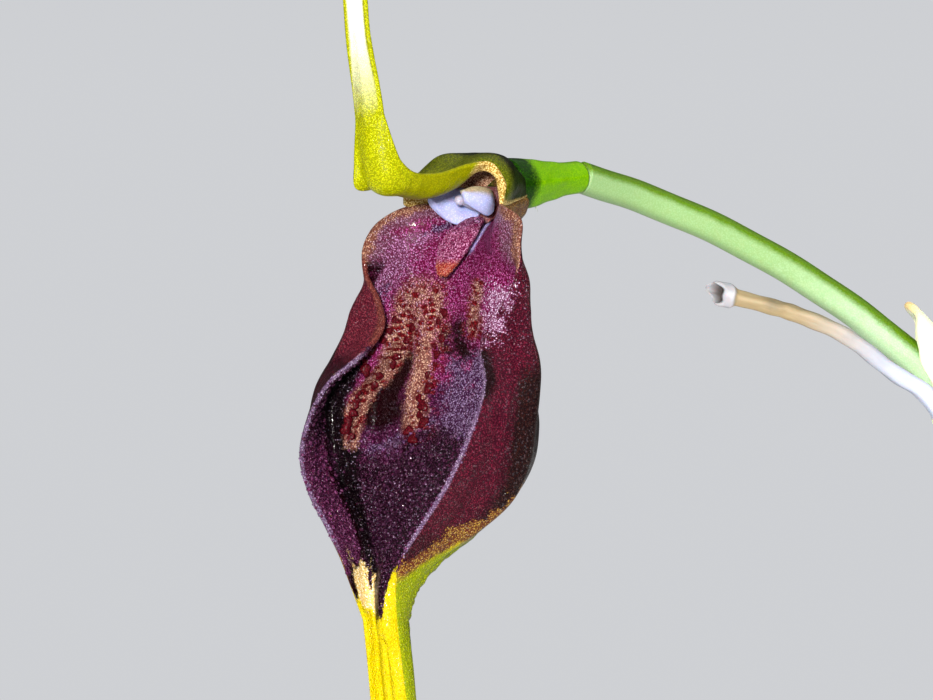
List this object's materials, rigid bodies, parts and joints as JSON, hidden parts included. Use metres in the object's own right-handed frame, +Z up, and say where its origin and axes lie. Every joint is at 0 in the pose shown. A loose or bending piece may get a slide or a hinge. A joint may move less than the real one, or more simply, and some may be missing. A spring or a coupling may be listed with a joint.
{
  "type": "potted masdevallia trochilus orchid",
  "caption": "Potted orchid in flower: a clump of leathery leaves in a clay pot, and one deep maroon cup flower with three long yellow tails on a tall arching stalk.",
  "frame": {"origin": "middle of the pot's underside, on the surface that the pot stands on", "axes": "+Z up along the pot's axis; seen along +Y, with +X to the right, the flower faces forty degrees to the left of the eye"},
  "size_m": [0.1898, 0.1772, 0.457],
  "materials": {
    "terracotta": "matte",
    "bark": "matte",
    "leaf_green": "satin",
    "dry_sheath": "matte",
    "scape_green": "satin",
    "stalk_green": "satin",
    "ovary_green": "satin",
    "bract_pale": "matte",
    "sepal_yellow": "satin",
    "sepal_maroon": "satin",
    "petal_white": "satin",
    "lip_rose": "satin"
  },
  "bodies": {
    "root": {"pot": "terracotta", "potting_mix": "bark", "leaf_01": "leaf_green", "sheath_01": "dry_sheath", "leaf_02": "leaf_green", "sheath_02": "dry_sheath", "leaf_03": "leaf_green", "sheath_03": "dry_sheath", "leaf_04": "leaf_green", "sheath_04": "dry_sheath", "leaf_05": "leaf_green", "sheath_05": "dry_sheath", "leaf_06": "leaf_green", "sheath_06": "dry_sheath", "leaf_07": "leaf_green", "sheath_07": "dry_sheath", "leaf_08": "leaf_green", "sheath_08": "dry_sheath", "leaf_09": "leaf_green", "sheath_09": "dry_sheath", "leaf_10": "leaf_green", "sheath_10": "dry_sheath", "leaf_11": "leaf_green", "sheath_11": "dry_sheath", "leaf_12": "leaf_green", "sheath_12": "dry_sheath", "leaf_13": "leaf_green", "sheath_13": "dry_sheath", "leaf_14": "leaf_green", "sheath_14": "dry_sheath", "flower_stem": "scape_green", "stem_bract_1": "dry_sheath", "stem_bract_2": "dry_sheath", "stem_bract_3": "dry_sheath", "upper_sepal": "sepal_yellow", "lateral_sepals": "sepal_maroon", "lower_tail_left": "sepal_yellow", "lower_tail_right": "sepal_yellow", "column": "petal_white", "petal_left": "petal_white", "petal_right": "petal_white", "lip": "lip_rose", "ovary": "ovary_green", "flower_stalk": "stalk_green", "flower_bract": "bract_pale", "old_flower_stalk": "dry_sheath"}
  },
  "joints": []
}
